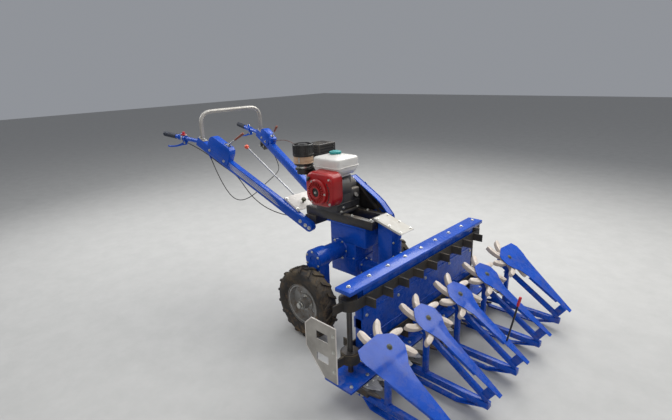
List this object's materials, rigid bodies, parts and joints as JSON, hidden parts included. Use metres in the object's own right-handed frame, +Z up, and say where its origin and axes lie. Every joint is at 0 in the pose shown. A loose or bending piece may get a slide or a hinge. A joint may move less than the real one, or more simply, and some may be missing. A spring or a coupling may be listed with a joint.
{
  "type": "walk-behind paddy reaper",
  "caption": "Walk-behind petrol reaper for paddy and wheat, with driven wheels, long handles, lugged crop conveyors, star wheels and pointed dividers over a reciprocating knife.",
  "frame": {"origin": "middle of the whole machine's box, on the ground it stands on", "axes": "+X forward towards the header, +Y to the machine's left, +Z up"},
  "size_m": [2.6038, 1.468, 1.2035],
  "materials": {
    "blue_paint": "gloss",
    "black_paint": "satin",
    "red_paint": "gloss",
    "white_paint": "gloss",
    "pale_paint": "satin",
    "rim_grey": "satin",
    "engine_alloy": "rough cast",
    "dark_steel": "satin",
    "bright_steel": "satin",
    "grey_steel": "galvanised",
    "tyre": "matte",
    "belt_rubber": "matte",
    "grip_rubber": "matte",
    "tank_white": "gloss",
    "cap_teal": "gloss",
    "black_plastic": "satin",
    "pale_plastic": "satin",
    "red_plastic": "gloss",
    "cream_plastic": "satin",
    "knob_brown": "satin",
    "knob_olive": "satin",
    "knob_orange": "gloss",
    "cable_black": "satin",
    "cable_brown": "satin",
    "zinc": "bright zinc"
  },
  "bodies": {
    "chassis": {"gearbox": "blue_paint", "side_case_right": "blue_paint", "side_case_left": "blue_paint", "chassis_frame": "black_paint", "engine_block": "engine_alloy", "fan_housing": "red_paint", "recoil_cover": "red_paint", "fuel_tank": "tank_white", "tank_cap": "cap_teal", "air_cleaner_base": "black_plastic", "air_cleaner_bowl": "pale_plastic", "air_cleaner_cap": "black_plastic", "muffler": "black_paint", "drive_pulleys": "dark_steel", "drive_belt": "belt_rubber", "belt_guard": "blue_paint", "gear_plate": "pale_paint", "gear_lever": "bright_steel", "handle_right": "blue_paint", "handle_left": "blue_paint", "grip_right": "grip_rubber", "grip_left": "grip_rubber", "hoop": "grey_steel", "lever_box_right": "blue_paint", "lever_box_left": "blue_paint", "stop_switch": "red_plastic", "header_frame": "blue_paint", "header_board": "blue_paint", "header_drive": "blue_paint", "drive_cover": "white_paint", "end_plate": "grey_steel", "end_rollers": "dark_steel", "conveyor_lower": "belt_rubber", "conveyor_upper": "belt_rubber", "cutter_bar": "dark_steel", "divider_frames": "blue_paint", "divider_covers": "blue_paint", "marker_rod": "black_plastic", "marker_cap": "red_plastic", "lever_rods": "bright_steel", "lever_knobs": "knob_brown", "hand_levers": "blue_paint", "pivot_block": "black_paint", "plate_knob": "knob_olive", "cable_clutch": "cable_black", "cable_link": "cable_black", "cable_throttle": "cable_brown"},
    "wheel_right": {"axle_right": "dark_steel", "rim_right": "rim_grey", "tyre_right": "tyre"},
    "wheel_left": {"axle_left": "dark_steel", "rim_left": "rim_grey", "tyre_left": "tyre"},
    "knife": {"knife": "bright_steel"},
    "star_1": {"star_1": "cream_plastic"},
    "star_2": {"star_2": "cream_plastic"},
    "star_3": {"star_3": "cream_plastic"},
    "star_4": {"star_4": "cream_plastic"},
    "star_5": {"star_5": "cream_plastic"}
  },
  "joints": [
    {"name": "wheel_right_spin", "type": "hinge", "parent": "chassis", "child": "wheel_right", "pos_m": [0.21188, -0.36, 0.204], "axis": [0, 1, 0], "continuous": true},
    {"name": "wheel_left_spin", "type": "hinge", "parent": "chassis", "child": "wheel_left", "pos_m": [0.21188, 0.36, 0.204], "axis": [0, 1, 0], "continuous": true},
    {"name": "knife_stroke", "type": "slide", "parent": "chassis", "child": "knife", "axis": [0, 1, 0], "range_m": [-0.0375, 0.0375]},
    {"name": "star_1_spin", "type": "hinge", "parent": "chassis", "child": "star_1", "pos_m": [0.92509, -0.58, 0.32345], "axis": [0.5446, 0, 0.8387], "continuous": true},
    {"name": "star_2_spin", "type": "hinge", "parent": "chassis", "child": "star_2", "pos_m": [0.92509, -0.29, 0.32345], "axis": [0.5446, 0, 0.8387], "continuous": true},
    {"name": "star_3_spin", "type": "hinge", "parent": "chassis", "child": "star_3", "pos_m": [0.92509, 0, 0.32345], "axis": [0.5446, 0, 0.8387], "continuous": true},
    {"name": "star_4_spin", "type": "hinge", "parent": "chassis", "child": "star_4", "pos_m": [0.92509, 0.29, 0.32345], "axis": [0.5446, 0, 0.8387], "continuous": true},
    {"name": "star_5_spin", "type": "hinge", "parent": "chassis", "child": "star_5", "pos_m": [0.92509, 0.58, 0.32345], "axis": [0.5446, 0, 0.8387], "continuous": true}
  ]
}
